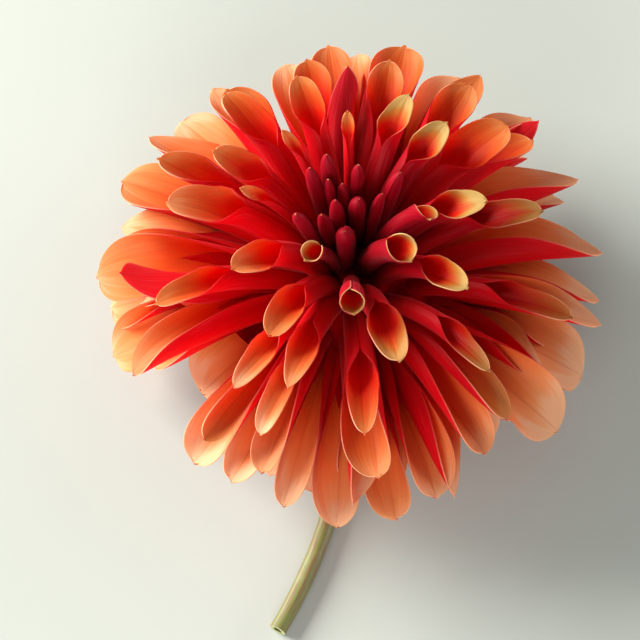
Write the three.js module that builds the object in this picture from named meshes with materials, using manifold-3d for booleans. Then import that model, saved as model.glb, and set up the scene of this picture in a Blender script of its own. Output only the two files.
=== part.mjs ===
// A dahlia flower as picked: a bloom of rolled ray florets on its bracts, and a short cut stem.
// Millimetres, +Z up. The bloom lies on its back with its face up, leaning a little towards +Y.
// The stem leaves the underside, turns towards -Y and lies along the surface.
import * as THREE from "three";
import { mergeVertices } from "three/addons/utils/BufferGeometryUtils.js";
import Module from "manifold-3d";

// Driving dimensions, millimetres and degrees
const BLOOM_AT = new THREE.Vector3(0.04, 9.38, 27);
const BLOOM_TILT = 5;
const CROWN_REACH = 35.5; // from the receptacle's centre to the tips in the heart
const RIM_REACH = 59.6; // and to the tips of the widest ring
const RIM_LEAN = 85;
const BLADE = 0.8;
const TUBE_WRAP = 174; // half the turn of the rolled part, whose margins nearly meet
const RECEPTACLE_RADIUS = 9;
const CORE_RADIUS = 20;
const CORE_TOP = 12;
const CORE_BOTTOM = -5;
const GAP = 0.3;
const SLIVER = 0.15; // facets narrower than this, left where blades cross, are merged away
const SCALE_COUNT = 8;
const SCALE_LENGTH = 12;
const SCALE_WIDTH = 9;
const BRACT_COUNT = 5;
const BRACT_LENGTH = 12;
const BRACT_WIDTH = 6.5;
const STEM_RADIUS = 2.05;
const STEM_BORE = 1.1;
const STEM_HEIGHT = 1.85; // of its centre line over the surface, so that it lies on a narrow flat
const STEM_RUN = [[-0.3, -13], [-2.3, -42], [-17, -68.04]]; // from the bend, by its sway, to the cut end

const wasm = await Module();
wasm.setup();
const { Manifold, Mesh } = wasm;
const { lerp, clamp, smoothstep, degToRad } = THREE.MathUtils;

// Park and Miller's generator, so that each build draws the same small differences.
let seed = 2027;
function draw(low, high) {
  seed = (seed * 16807) % 2147483647;
  return lerp(low, high, seed / 2147483647);
}

// Florets as [azimuth, lean, twist]. Azimuth runs clockwise from the far side, seen on the face,
// lean is the tip's angle from the bloom's axis, and twist turns the open side clockwise. A fourth
// value shortens a floret to that share of its reach.
const HEART = [
  [32, 5],
  [-70, 6],
  [-164, 9],
  [-18, 10],
  [-40, 12],
  [10, 13],
  [64, 12],
  [-104, 11],
  [-27, 17],
  [-50, 17],
  [58, 18],
  [-109, 18],
];
const QUILLS = [
  [109, 24, -20],
  [-148, 25],
  [142, 27],
  [-2, 28],
  [-42, 29],
  [-85, 31],
  [179, 36],
];
const INNER = [
  [48, 36],
  [91, 37],
  [26, 37],
  [-124, 39],
  [131, 41],
  [-67, 41],
  [-20, 43],
  [-151, 45],
  [165, 48],
  [-87, 50],
  [58, 51],
  [-43, 51],
  [89, 52],
];
const MIDDLE = [
  [-162, 55],
  [141, 59],
  [-115, 59],
  [-148, 60],
  [177, 64],
  [-100, 67],
  [-158, 68],
  [112, 68],
  [14, 68],
];
const OUTER = [
  [34, 70],
  [-146, 73],
  [142, 73],
  [52, 73],
  [-5, 75],
  [174, 76],
  [149, 79],
  [-121, 78],
  [-55, 79],
  [-160, 79],
  [47, 80],
  [-34, 81],
  [28, 82],
  [2, 82],
  [-66, 83],
  [66, 83],
  [-15, 84],
];
const RIM = [
  [85, 85],
  [-90, 86],
  [180, 87],
  [9, 84],
  [-43, 88],
  [-153, 87],
  [-143, 88],
  [161, 88],
  [-165, 90],
  [100, 91],
  [157, 91],
  [170, 95],
  [-177, 98],
  [-62, 97],
  [-51, 98],
  [-69, 99],
  [75, 99],
  [45, 100],
  [60, 101],
  [124, 101],
  [-87, 107],
  [106, 106],
  [90, 98],
  [-100, 107],
  [-80, 94, 0, 0.97],
  [-117, 106, 0, 0.78],
  [137, 106, 0, 0.84],
];
const BACK_COUNT = 32; // behind the rim, in two alternating rows
const BACK_LEANS = [99, 109];
const BACK_REACH = 0.84;
const NOTCHES = [-130, 138]; // azimuths left open at the back
const FEET = [[-40, 117], [40, 117]]; // the two back florets whose tips the bloom rests on
// Florets of the far side that the photograph foreshortens, between its middle and outer ranks.
const FAR = [
  [-1, 44],
  [-70, 57],
  [-13, 58, 0, 0.95],
  [12, 57, 0, 0.95],
  [37, 58, 0, 0.97],
  [-38, 60, 0, 0.95],
  [60, 62, 0, 0.96],
];

// How a floret of a given lean has grown: the young ones in the heart are short closed tubes, and
// the old ones at the rim are long, wide and open.
function growth(lean) {
  const age = clamp(lean / 90, 0, 1.25);
  return {
    reach: lerp(CROWN_REACH, RIM_REACH, Math.sin((clamp(lean / RIM_LEAN, 0, 1) * Math.PI) / 2)),
    halfWidth: lerp(7, 8.8, clamp(age, 0, 1)),
    root: [2 + (RECEPTACLE_RADIUS - 2) * Math.min(age, 1), lerp(5, -2.5, Math.min(age, 1))],
    leave: lean * lerp(0.55, 0.75, age / 1.25),
    arrive: lean * lerp(1, 1.16, age / 1.25),
    opening: lerp(0.84, 0.5, clamp((lean - 20) / 65, 0, 1)),
    tipWrap: lerp(105, 74, clamp((lean - 20) / 75, 0, 1)),
  };
}

// The midrib of a floret, in the upright plane of its azimuth: x outwards and y along the axis.
function midrib(lean, reachShare) {
  const g = growth(lean);
  const along = (degrees) => new THREE.Vector2(Math.sin(degToRad(degrees)), Math.cos(degToRad(degrees)));
  const root = new THREE.Vector2(...g.root);
  const tip = along(lean).multiplyScalar(g.reach * reachShare);
  const span = root.distanceTo(tip);
  const control1 = along(g.leave).multiplyScalar(0.36 * span).add(root);
  const control2 = along(g.arrive).multiplyScalar(-0.36 * span).add(tip);
  return new THREE.CubicBezierCurve(root, control1, control2, tip);
}

// How the flattened blade widens from its narrow root, and how its blunt tip rounds off.
const widening = (share) => lerp(0.62, 1, smoothstep(share, 0, 0.6));
const rounding = (share) => Math.sqrt(Math.max(1 - clamp((share - 0.74) / 0.26, 0, 1) ** 2.4, 0.1));

// Turns rings of points, alike in number and order, into a closed solid.
function solidFromRings(rings) {
  const count = rings[0].length;
  const last = (rings.length - 1) * count;
  const faces = [];
  for (let i = 0; i < rings.length - 1; i++) {
    for (let j = 0; j < count; j++) {
      const a = i * count + j;
      const b = i * count + ((j + 1) % count);
      faces.push(a, b + count, b, a, a + count, b + count);
    }
  }
  return { count, last, faces, points: rings.flat() };
}

function toManifold(points, faces) {
  const solid = new Manifold(
    new Mesh({
      numProp: 3,
      vertProperties: new Float32Array(points.flatMap((p) => [p.x, p.y, p.z])),
      triVerts: new Uint32Array(faces),
    }),
  );
  return solid;
}

// A rolled blade: each ring is the outer face from edge to edge and the inner face back again.
function bladeSolid(rings) {
  const { count, last, faces, points } = solidFromRings(rings);
  const half = count / 2;
  for (let j = 0; j < half - 1; j++) {
    const k = count - 1 - j;
    faces.push(j, j + 1, k - 1, j, k - 1, k);
    faces.push(last + j, last + k - 1, last + j + 1, last + j, last + k, last + k - 1);
  }
  return toManifold(points, faces);
}

// The outer surface alone, where blades that cross have shut in a small pocket.
function withoutPockets(solid) {
  return solid.decompose().reduce((kept, other) => (other.volume() > kept.volume() ? other : kept));
}

// A rod: each ring is closed by a fan from its first point.
function rodSolid(rings) {
  const { count, last, faces, points } = solidFromRings(rings);
  for (let j = 1; j < count - 1; j++) {
    faces.push(0, j, j + 1);
    faces.push(last, last + j + 1, last + j);
  }
  return toManifold(points, faces);
}

// The frame of a floret at one point of its midrib, in the bloom's own axes.
function frameAt(curve, share, azimuth, twist) {
  const place = curve.getPoint(share);
  const tangent = curve.getTangent(share);
  const turn = degToRad(azimuth);
  const outwards = new THREE.Vector3(Math.sin(turn), Math.cos(turn), 0);
  const up = new THREE.Vector3(0, 0, 1);
  const combine = (x, y) => outwards.clone().multiplyScalar(x).addScaledVector(up, y);
  const along = combine(tangent.x, tangent.y);
  const inner = combine(-tangent.y, tangent.x).applyAxisAngle(along, -degToRad(twist) * share);
  return {
    place: combine(place.x, place.y),
    inner,
    across: new THREE.Vector3().crossVectors(inner, along).negate(),
  };
}

// An opened floret: a rolled tube low down, which spreads into a spoon at the tip.
function openFloret(azimuth, lean, twist, reachShare, widthShare, stations, segments) {
  const g = growth(lean);
  const curve = midrib(lean, reachShare);
  const rings = stations.map((share) => {
    const frame = frameAt(curve, share, azimuth, twist);
    const half = g.halfWidth * widthShare * widening(share);
    const opened = smoothstep(share, g.opening - 0.18, g.opening + 0.26);
    const rolled = degToRad(lerp(TUBE_WRAP, g.tipWrap, opened));
    const radius = half / rolled;
    const wrap = rolled * rounding(share);
    const wall = lerp(Math.max(BLADE, 0.6 * radius), BLADE, opened);
    const outer = [];
    const inner = [];
    for (let j = 0; j <= segments; j++) {
      const angle = lerp(-wrap, wrap, j / segments);
      for (const [list, r] of [[outer, radius], [inner, radius - wall]]) {
        list.push(
          frame.place
            .clone()
            .addScaledVector(frame.across, r * Math.sin(angle))
            .addScaledVector(frame.inner, radius - r * Math.cos(angle)),
        );
      }
    }
    return [...outer, ...inner.reverse()];
  });
  return bladeSolid(rings);
}

// A young floret of the heart, still closed: a slim bud with a blunt tip.
function closedFloret(azimuth, lean, reachShare, sides) {
  const curve = midrib(lean, reachShare);
  const bud = [[0, 1.4], [0.5, 1.8], [0.86, 1.95], [0.96, 1.35], [1, 0.5]];
  const rings = bud.map(([share, radius]) => {
    const frame = frameAt(curve, share, azimuth, 0);
    const ring = [];
    for (let j = 0; j < sides; j++) {
      const angle = (j / sides) * 2 * Math.PI;
      ring.push(
        frame.place
          .clone()
          .addScaledVector(frame.across, radius * Math.sin(angle))
          .addScaledVector(frame.inner, -radius * Math.cos(angle)),
      );
    }
    return ring;
  });
  return rodSolid(rings);
}

function solidFrom(geometry) {
  geometry.deleteAttribute("normal");
  geometry.deleteAttribute("uv");
  const merged = mergeVertices(geometry, 1e-4);
  return new Manifold(
    new Mesh({
      numProp: 3,
      vertProperties: merged.attributes.position.array,
      triVerts: new Uint32Array(merged.index.array),
    }),
  );
}

function lathe(profile, sides) {
  const geometry = new THREE.LatheGeometry(profile.map(([r, z]) => new THREE.Vector2(r, z)), sides);
  return solidFrom(geometry.rotateX(Math.PI / 2));
}

function geometryFrom(solid) {
  const mesh = solid.getMesh();
  const geometry = new THREE.BufferGeometry();
  geometry.setAttribute("position", new THREE.BufferAttribute(mesh.vertProperties, 3));
  geometry.setIndex(new THREE.BufferAttribute(mesh.triVerts, 1));
  geometry.computeVertexNormals();
  return geometry;
}

// The bloom in its own axes: receptacle centre at the origin, axis along +Z, azimuth 0 at +Y.
function bloomSolid() {
  const core = lathe(
    [
      [0, CORE_BOTTOM],
      [RECEPTACLE_RADIUS - 1, CORE_BOTTOM],
      [CORE_RADIUS - 6, -3],
      [CORE_RADIUS, 1],
      [CORE_RADIUS, 6],
      [CORE_RADIUS - 6, 10.5],
      [6, CORE_TOP],
      [0, CORE_TOP],
    ],
    14,
  );
  const solids = [core];
  for (const [azimuth, lean] of HEART) {
    solids.push(closedFloret(azimuth, lean, draw(0.97, 1.01), 6));
  }
  const open = (list, stations, segments) => {
    for (const [azimuth, lean, twist = 0, reach = 1] of list) {
      const width = draw(0.94, 1.06);
      solids.push(openFloret(azimuth, lean, twist + draw(-10, 10), reach, width, stations, segments));
    }
  };
  open(QUILLS, [0, 0.5, 0.78, 0.93, 1], 4);
  open(INNER, [0, 0.5, 0.78, 0.93, 1], 3);
  open(MIDDLE, [0, 0.45, 0.74, 0.92, 1], 3);
  open(OUTER, [0, 0.36, 0.64, 0.9, 1], 3);
  open(RIM, [0, 0.36, 0.64, 0.9, 1], 3);
  for (let i = 0; i < BACK_COUNT; i++) {
    const azimuth = -180 + (360 * i) / BACK_COUNT + draw(-3, 3);
    const lean = BACK_LEANS[i % 2] + draw(-2, 2);
    const width = draw(0.94, 1.06);
    const twist = draw(-10, 10);
    if (NOTCHES.every((notch) => Math.abs(azimuth - notch) > 9)) {
      solids.push(openFloret(azimuth, lean, twist, BACK_REACH, width, [0, 0.45, 0.8, 1], 2));
    }
  }
  for (const [azimuth, lean] of FEET) {
    solids.push(openFloret(azimuth, lean, 0, 0.92, 1, [0, 0.45, 0.8, 1], 2));
  }
  open(FAR, [0, 0.5, 0.8, 1], 2);
  const tilt = degToRad(BLOOM_TILT);
  const cut = Manifold.union(solids).trimByPlane([0, -Math.sin(tilt), Math.cos(tilt)], -BLOOM_AT.z);
  return withoutPockets(cut.asOriginal().simplify(SLIVER));
}

// A whorl of small blades that leave a flat disc under the bloom and bend down from it.
function whorlSolid(disc, count, firstAzimuth, rise) {
  const solids = [lathe(disc, 16)];
  for (let i = 0; i < count; i++) {
    const turn = firstAzimuth + (360 * i) / count;
    solids.push(rise(turn));
  }
  return Manifold.union(solids);
}

// A flat blade along a midrib curve: width by share of its length, and a slight keel.
function leafSolid(curve, turn, width, thickness, shape) {
  const rings = shape.map(([share, widthShare]) => {
    const frame = frameAt(curve, share, turn, 0);
    const half = (width / 2) * widthShare;
    const lift = half * 0.12;
    const point = (x, y) => frame.place.clone().addScaledVector(frame.across, x).addScaledVector(frame.inner, y);
    return [
      point(-half, lift),
      point(0, 0),
      point(half, lift),
      point(half, lift + thickness),
      point(0, thickness),
      point(-half, lift + thickness),
    ];
  });
  return bladeSolid(rings);
}

function innerBractsSolid() {
  const top = CORE_BOTTOM - GAP;
  const disc = [[0, top - 1.3], [6.6, top - 1.3], [7, top - 0.6], [6.4, top], [0, top]];
  const shape = [[0, 0.75], [0.4, 1], [0.75, 0.85], [1, 0.3]];
  return whorlSolid(disc, SCALE_COUNT, 10, (turn) => {
    const curve = new THREE.CubicBezierCurve(
      new THREE.Vector2(5.2, top - 1.15),
      new THREE.Vector2(8.5, top - 1.5),
      new THREE.Vector2(5.2 + SCALE_LENGTH * 0.65, top - 2.6),
      new THREE.Vector2(5.2 + SCALE_LENGTH * 0.9, top - 5.4),
    );
    return leafSolid(curve, turn, SCALE_WIDTH, 0.7, shape);
  });
}

function outerBractsSolid() {
  const top = CORE_BOTTOM - 2 * GAP - 1.3;
  const disc = [[0, top - 1.4], [5.4, top - 1.4], [5.9, top - 0.7], [5.4, top], [0, top]];
  const shape = [[0, 0.55], [0.35, 0.8], [0.7, 1], [0.9, 0.72], [1, 0.3]];
  return whorlSolid(disc, BRACT_COUNT, 0, (turn) => {
    const curve = new THREE.CubicBezierCurve(
      new THREE.Vector2(4.4, top - 1.1),
      new THREE.Vector2(7.6, top - 1.4),
      new THREE.Vector2(4.4 + BRACT_LENGTH * 0.55, top - 4.6),
      new THREE.Vector2(4.4 + BRACT_LENGTH * 0.66, top - 9.6),
    );
    return leafSolid(curve, turn, BRACT_WIDTH, 0.9, shape);
  });
}

// The stem, in the object's own axes: a swollen top under the bracts, a bend and a straight run.
function stemSolid() {
  const tilt = degToRad(BLOOM_TILT);
  const axis = new THREE.Vector3(0, Math.sin(tilt), Math.cos(tilt));
  const top = CORE_BOTTOM - 3 * GAP - 2.7;
  const start = BLOOM_AT.clone().addScaledVector(axis, top - 1);
  const [bendEnd, sway, end] = STEM_RUN.map(([x, y]) => new THREE.Vector3(x, y, STEM_HEIGHT));
  const run = sway.clone().sub(bendEnd).normalize();
  const path = new THREE.CurvePath();
  path.add(
    new THREE.CubicBezierCurve3(
      start,
      start.clone().addScaledVector(axis, -13),
      bendEnd.clone().addScaledVector(run, -13),
      bendEnd,
    ),
  );
  path.add(new THREE.QuadraticBezierCurve3(bendEnd, sway, end));
  const section = new THREE.Shape().absarc(0, 0, STEM_RADIUS, 0, 2 * Math.PI, false);
  section.holes.push(new THREE.Path().absarc(0, 0, STEM_BORE, 0, 2 * Math.PI, true));
  const tube = new THREE.ExtrudeGeometry(section, { steps: 26, curveSegments: 5, extrudePath: path });
  const swelling = lathe(
    [[0, top - 6], [2.2, top - 6], [2.6, top - 4], [4.2, top - 1.4], [4.9, top], [0, top]],
    16,
  );
  const place = new THREE.Matrix4().makeRotationX(-tilt).setPosition(BLOOM_AT);
  const bore = solidFrom(tube);
  return bore.add(swelling.transform(place.toArray())).trimByPlane([0, 0, 1], 0);
}

function material(color, roughness) {
  return new THREE.MeshStandardMaterial({ color, roughness, metalness: 0 });
}

function part(name, solid, finish) {
  const mesh = new THREE.Mesh(geometryFrom(solid), finish);
  mesh.name = name;
  return mesh;
}

const flower = new THREE.Group();
const head = new THREE.Group();
head.position.copy(BLOOM_AT);
head.rotation.x = -degToRad(BLOOM_TILT);
head.add(
  part("bloom", bloomSolid(), material(0xe2542f, 0.55)),
  part("inner_bracts", innerBractsSolid(), material(0xb9b56a, 0.7)),
  part("outer_bracts", outerBractsSolid(), material(0x5f7d33, 0.65)),
);
flower.add(head, part("stem", stemSolid(), material(0x72803f, 0.6)));

export default flower;
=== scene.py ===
"""A dahlia flower as picked: a bloom of rolled ray florets on its bracts, and a short cut stem.

The bloom lies on its back with its face up and leans a little towards +Y. The stem leaves the
underside, turns towards -Y and lies along the surface. Sizes are in millimetres until a mesh is
placed, and in metres after that, as everywhere in Blender.
"""

import logging
import math
from dataclasses import dataclass, field, replace
from enum import Enum
from typing import Iterable, Sequence

import bpy
import numpy as np
from mathutils import Matrix, Vector


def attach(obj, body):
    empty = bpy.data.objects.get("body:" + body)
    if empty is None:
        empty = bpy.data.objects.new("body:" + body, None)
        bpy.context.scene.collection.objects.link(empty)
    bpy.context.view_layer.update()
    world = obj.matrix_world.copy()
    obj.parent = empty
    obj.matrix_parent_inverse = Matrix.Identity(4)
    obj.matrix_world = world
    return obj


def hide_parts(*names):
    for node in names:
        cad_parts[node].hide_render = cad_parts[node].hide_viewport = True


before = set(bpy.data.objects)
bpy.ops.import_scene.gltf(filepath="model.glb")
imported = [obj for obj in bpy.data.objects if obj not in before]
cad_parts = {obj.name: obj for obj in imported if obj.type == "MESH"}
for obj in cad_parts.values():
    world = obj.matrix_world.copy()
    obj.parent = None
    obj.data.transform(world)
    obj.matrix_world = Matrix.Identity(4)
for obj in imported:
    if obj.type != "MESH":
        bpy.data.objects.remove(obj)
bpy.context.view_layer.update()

LOG = logging.getLogger("dahlia")
MM = 0.001
MM_PER_CM = 10.0
BODY = "root"
Value = float | np.ndarray
Span = tuple[float, float]
Spans = tuple[Span, ...]
Colour = tuple[float, float, float, float]
Stops = Sequence[tuple[float, Colour]]
Look = dict[str, object]
Node = bpy.types.Node
Socket = bpy.types.NodeSocket
Inputs = dict[str | int, object]

# The part's driving sizes, in millimetres and degrees, as in its CAD source.
BLOOM_AT = Vector((0.04, 9.38, 27.0))
BLOOM_TILT = 5.0
CROWN_REACH = 35.5
RIM_REACH = 59.6
RIM_LEAN = 85.0
RECEPTACLE_RADIUS = 9.0
CORE_BOTTOM = -5.0
SCALE_DISC = 1.3
BRACT_DISC = 1.4
GAP = 0.3
DRAW_SEED = 2027

# The scene's own: its second row of draws, and how far a shut tube wraps to each side. The
# margins of the CAD source's tubes stay further apart.
VARIETY_SEED = 61
TUBE_WRAP = 178.5

# The small forms of an open blade: place and width as shares of its half width, and height.
CREASE = (0.0, 0.09, 0.16)
FLUTES = (0.45, 0.13, 0.10)
NIB = (0.0, 0.5, 0.55)


def lerp(low: Value, high: Value, share: Value) -> Value:
    """Returns the value at a share of the way from low to high."""
    return low + (high - low) * share


def smooth(value: Value, low: float, high: float) -> Value:
    """Returns how far value has come from low to high, eased at both ends and held past them."""
    share = np.clip((value - low) / (high - low), 0.0, 1.0)
    return share * share * (3.0 - 2.0 * share)


def swell(across: np.ndarray, form: tuple[float, float, float]) -> np.ndarray:
    """Returns the height of a soft rise, the same on both halves of a blade."""
    place, width, height = form
    return height * np.exp(-(((np.abs(across) - place) / width) ** 2))


def curve(ends: Sequence[np.ndarray], along: np.ndarray) -> tuple[np.ndarray, np.ndarray]:
    """Follows a cubic curve.

    Args:
        ends: its four control points.
        along: places from 0 at its start to 1 at its end.

    Returns:
        The points and the unit tangents there.
    """
    a, b, c, d = ends
    t = along[:, None]
    points = a * (1 - t) ** 3 + 3 * b * t * (1 - t) ** 2 + 3 * c * t**2 * (1 - t) + d * t**3
    tangents = (b - a) * (1 - t) ** 2 + 2 * (c - b) * t * (1 - t) + (d - c) * t**2
    return points, tangents / np.linalg.norm(tangents, axis=1)[:, None]


def colour(red: float, green: float, blue: float) -> Colour:
    """Returns a linear colour with full alpha."""
    return (red, green, blue, 1.0)


def only(*pieces: bpy.types.Object) -> None:
    """Deselects everything and selects these pieces, the first of them active.

    Args:
        pieces: the objects that the next operator works on.
    """
    bpy.ops.object.select_all(action="DESELECT")
    for piece in pieces:
        piece.select_set(True)
    bpy.context.view_layer.objects.active = pieces[0]


def copy_of(blank: bpy.types.Object) -> bpy.types.Object:
    """Returns a copy of a piece, with a mesh of its own.

    Args:
        blank: the piece to copy.

    Returns:
        The copy, in the scene.
    """
    copy = blank.copy()
    copy.data = blank.data.copy()
    bpy.context.scene.collection.objects.link(copy)
    return copy


def joined(pieces: Sequence[bpy.types.Object], name: str) -> bpy.types.Object:
    """Joins pieces into one.

    Args:
        pieces: the pieces.
        name: the name of what they become.

    Returns:
        The joined piece.
    """
    only(*pieces)
    bpy.ops.object.join()
    piece = bpy.context.active_object
    piece.name = name
    piece.data.name = name
    return piece


def points_of(mesh: bpy.types.Mesh) -> np.ndarray:
    """Returns a mesh's vertices, a row for each.

    Args:
        mesh: the mesh.

    Returns:
        Their coordinates.
    """
    flat = np.zeros(len(mesh.vertices) * 3)
    mesh.vertices.foreach_get("co", flat)
    return flat.reshape(-1, 3)


def head_place() -> Matrix:
    """Returns the bloom's own axes in the object's, from millimetres to metres."""
    turn = Matrix.Rotation(-math.radians(BLOOM_TILT), 4, "X")
    return Matrix.Diagonal((MM, MM, MM, 1.0)) @ Matrix.Translation(BLOOM_AT) @ turn


def hand_in(piece: bpy.types.Object, node: str) -> None:
    """Gives a finished piece to the frame and reports it.

    Args:
        piece: the finished piece, its place in its mesh.
        node: the CAD node that it stands for.
    """
    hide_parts(node)
    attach(piece, BODY)
    faces = sum(len(face.vertices) - 2 for face in piece.data.polygons)
    LOG.info("%s stands for %s with %d triangles", piece.name, node, faces)


class Draw:
    """Park and Miller's generator, which draws what the CAD source draws."""

    MULTIPLIER = 16807
    MODULUS = 2147483647

    def __init__(self, seed: int) -> None:
        """Starts the row of numbers at a seed."""
        self.seed = seed

    def __call__(self, low: float, high: float) -> float:
        """Returns the next number between low and high."""
        self.seed = self.seed * self.MULTIPLIER % self.MODULUS
        return lerp(low, high, self.seed / self.MODULUS)


class Tip(Enum):
    """How a floret's blade ends: where it starts to narrow, how fast, and how full it stays."""

    BLUNT = (0.76, 2.6, 0.5)
    ROUND = (0.68, 2.2, 0.5)
    POINTED = (0.62, 1.8, 0.62)
    TRUMPET = (0.86, 3.0, 0.4)
    CUP = (0.945, 3.0, 0.42)

    def fullness(self, along: np.ndarray) -> np.ndarray:
        """Narrows the blade.

        Args:
            along: places from 0 at the root to 1 at the tip.

        Returns:
            The share of the blade's width that is left at each.
        """
        start, power, ending = self.value
        past = np.clip((along - start) / (1.0 - start), 0.0, 1.0)
        return np.maximum(1.0 - past**power, 0.0) ** ending


@dataclass(frozen=True)
class Habit:
    """How the florets of a rank open.

    The mouth is shifted along the tube and opens over a run, until the blade curls this many
    degrees to each side and has this share of its flat width. The tip bends further out, in
    degrees, and the tube has a girth of its own.
    """

    shift: float
    run: float
    curl: float
    share: float
    bend: float = 0.0
    girth: float = 1.0


@dataclass(frozen=True)
class Growth:
    """How a ray floret of a given lean has grown, from a short bud in the heart to a wide spoon.

    Each pair of sizes belongs to the youngest and to the oldest floret.
    """

    lean: float
    flat_lean: float = 90.0
    opening_lean: float = 20.0
    oldest: float = 1.25
    half_widths: Span = (7.0, 8.8)
    mouths: Span = (0.84, 0.5)
    root_out: Span = (2.0, RECEPTACLE_RADIUS)
    root_up: Span = (5.0, -2.5)
    leaving: Span = (0.55, 0.75)
    arriving: Span = (1.0, 1.16)
    pull: float = 0.36

    @property
    def age(self) -> float:
        """Returns the floret's age, 0 in the heart, 1 at the rim and more behind it."""
        return min(max(self.lean / self.flat_lean, 0.0), self.oldest)

    @property
    def reach(self) -> float:
        """Returns the distance from the receptacle's centre to the tip."""
        turn = min(max(self.lean / RIM_LEAN, 0.0), 1.0) * math.pi / 2
        return lerp(CROWN_REACH, RIM_REACH, math.sin(turn))

    @property
    def half_width(self) -> float:
        """Returns half the width of the blade laid flat."""
        return lerp(*self.half_widths, min(self.age, 1.0))

    @property
    def opening(self) -> float:
        """Returns the place along the floret where its tube opens."""
        ripe = (self.lean - self.opening_lean) / (RIM_LEAN - self.opening_lean)
        return lerp(*self.mouths, min(max(ripe, 0.0), 1.0))

    def midrib(
        self, along: np.ndarray, reach_share: float, bend: float
    ) -> tuple[np.ndarray, np.ndarray]:
        """Follows the midrib in the upright plane of the floret, x outwards and y up the axis.

        Args:
            along: places along the midrib, from 0 at the root to 1 at the tip.
            reach_share: the share of its usual reach that this floret has.
            bend: how much further out than it leans the tip turns, in degrees.

        Returns:
            The points and the unit tangents there.
        """

        def heading(degrees: float) -> np.ndarray:
            """Returns the unit vector that leans this far from the axis."""
            return np.array((math.sin(math.radians(degrees)), math.cos(math.radians(degrees))))

        grown = min(self.age, 1.0)
        share = self.age / self.oldest
        root = np.array((lerp(*self.root_out, grown), lerp(*self.root_up, grown)))
        tip = heading(self.lean) * self.reach * reach_share
        pull = self.pull * np.linalg.norm(tip - root)
        leave = heading(self.lean * lerp(*self.leaving, share))
        arrive = heading(self.lean * lerp(*self.arriving, share) + bend)
        return curve((root, root + pull * leave, tip - pull * arrive, tip), along)


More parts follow.
